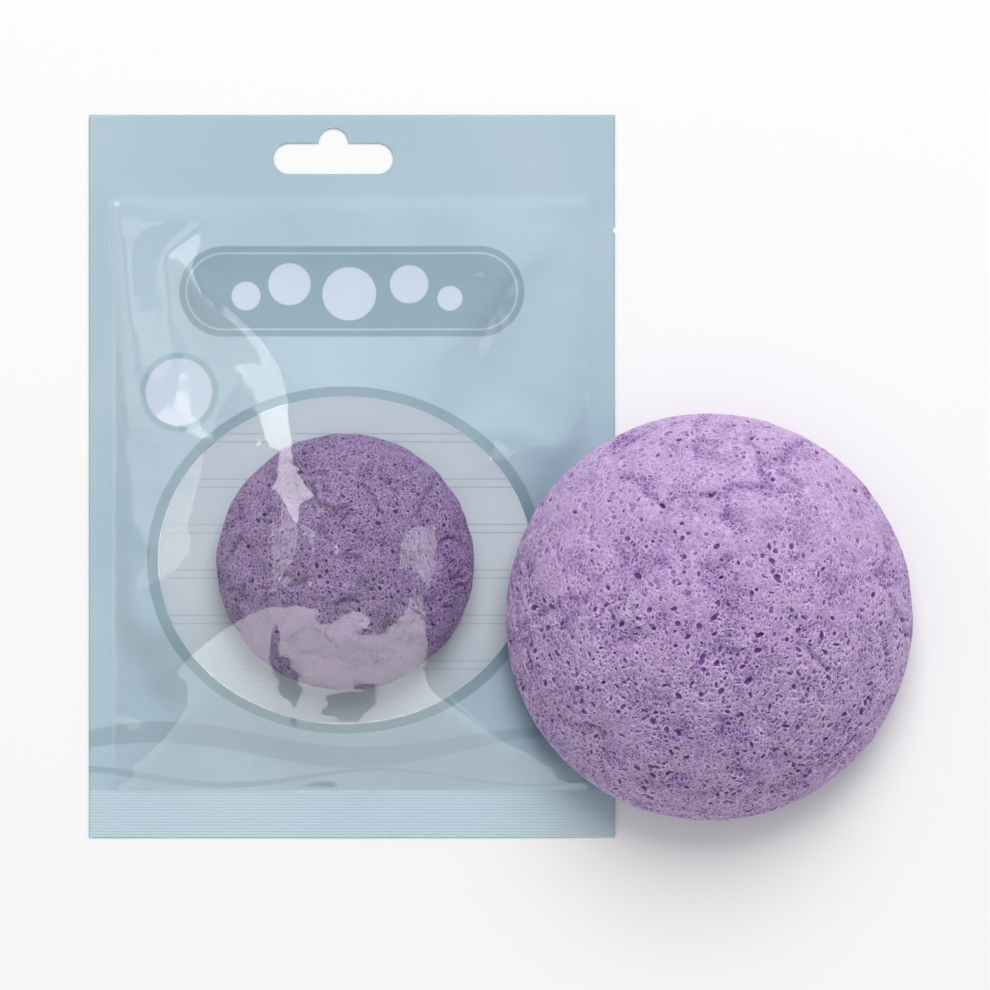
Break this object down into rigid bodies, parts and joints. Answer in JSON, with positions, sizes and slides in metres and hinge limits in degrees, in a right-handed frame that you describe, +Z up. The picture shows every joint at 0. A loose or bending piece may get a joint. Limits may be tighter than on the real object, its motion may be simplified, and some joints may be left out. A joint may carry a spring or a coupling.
{
  "type": "konjac sponge in a hang pouch",
  "caption": "Half-ball konjac face sponge: dry in a flat sealed hang pouch of tinted see-through film, and swollen for use, lying on the pouch's edge.",
  "frame": {"origin": "on the floor, under the middle of the pouch and the loose sponge together", "axes": "+X from the pouch to the loose sponge, +Y to the pouch's header with the hang slot, +Z up out of the front film"},
  "size_m": [0.172, 0.151, 0.0424],
  "materials": {
    "tinted_film": "pale blue tinted see-through film, glossy, with a clear window",
    "backing_film": "pale grey-blue film, glossy",
    "dry_foam": "dry crumpled lavender konjac foam with fine pores",
    "swollen_foam": "soft lavender konjac foam with open pores"
  },
  "bodies": {
    "pouch": {"front_film": "tinted_film", "rear_film": "backing_film"},
    "packed": {"packed_sponge": "dry_foam"},
    "loose": {"loose_sponge": "swollen_foam"}
  },
  "joints": [
    {"name": "packed_shift", "type": "slide", "parent": "pouch", "child": "packed", "axis": [0, 1, 0], "range_m": [-0.004, 0.004]},
    {"name": "loose_lift", "type": "slide", "parent": "pouch", "child": "loose", "axis": [0, 0, 1], "range_m": [0, 0.06]}
  ]
}
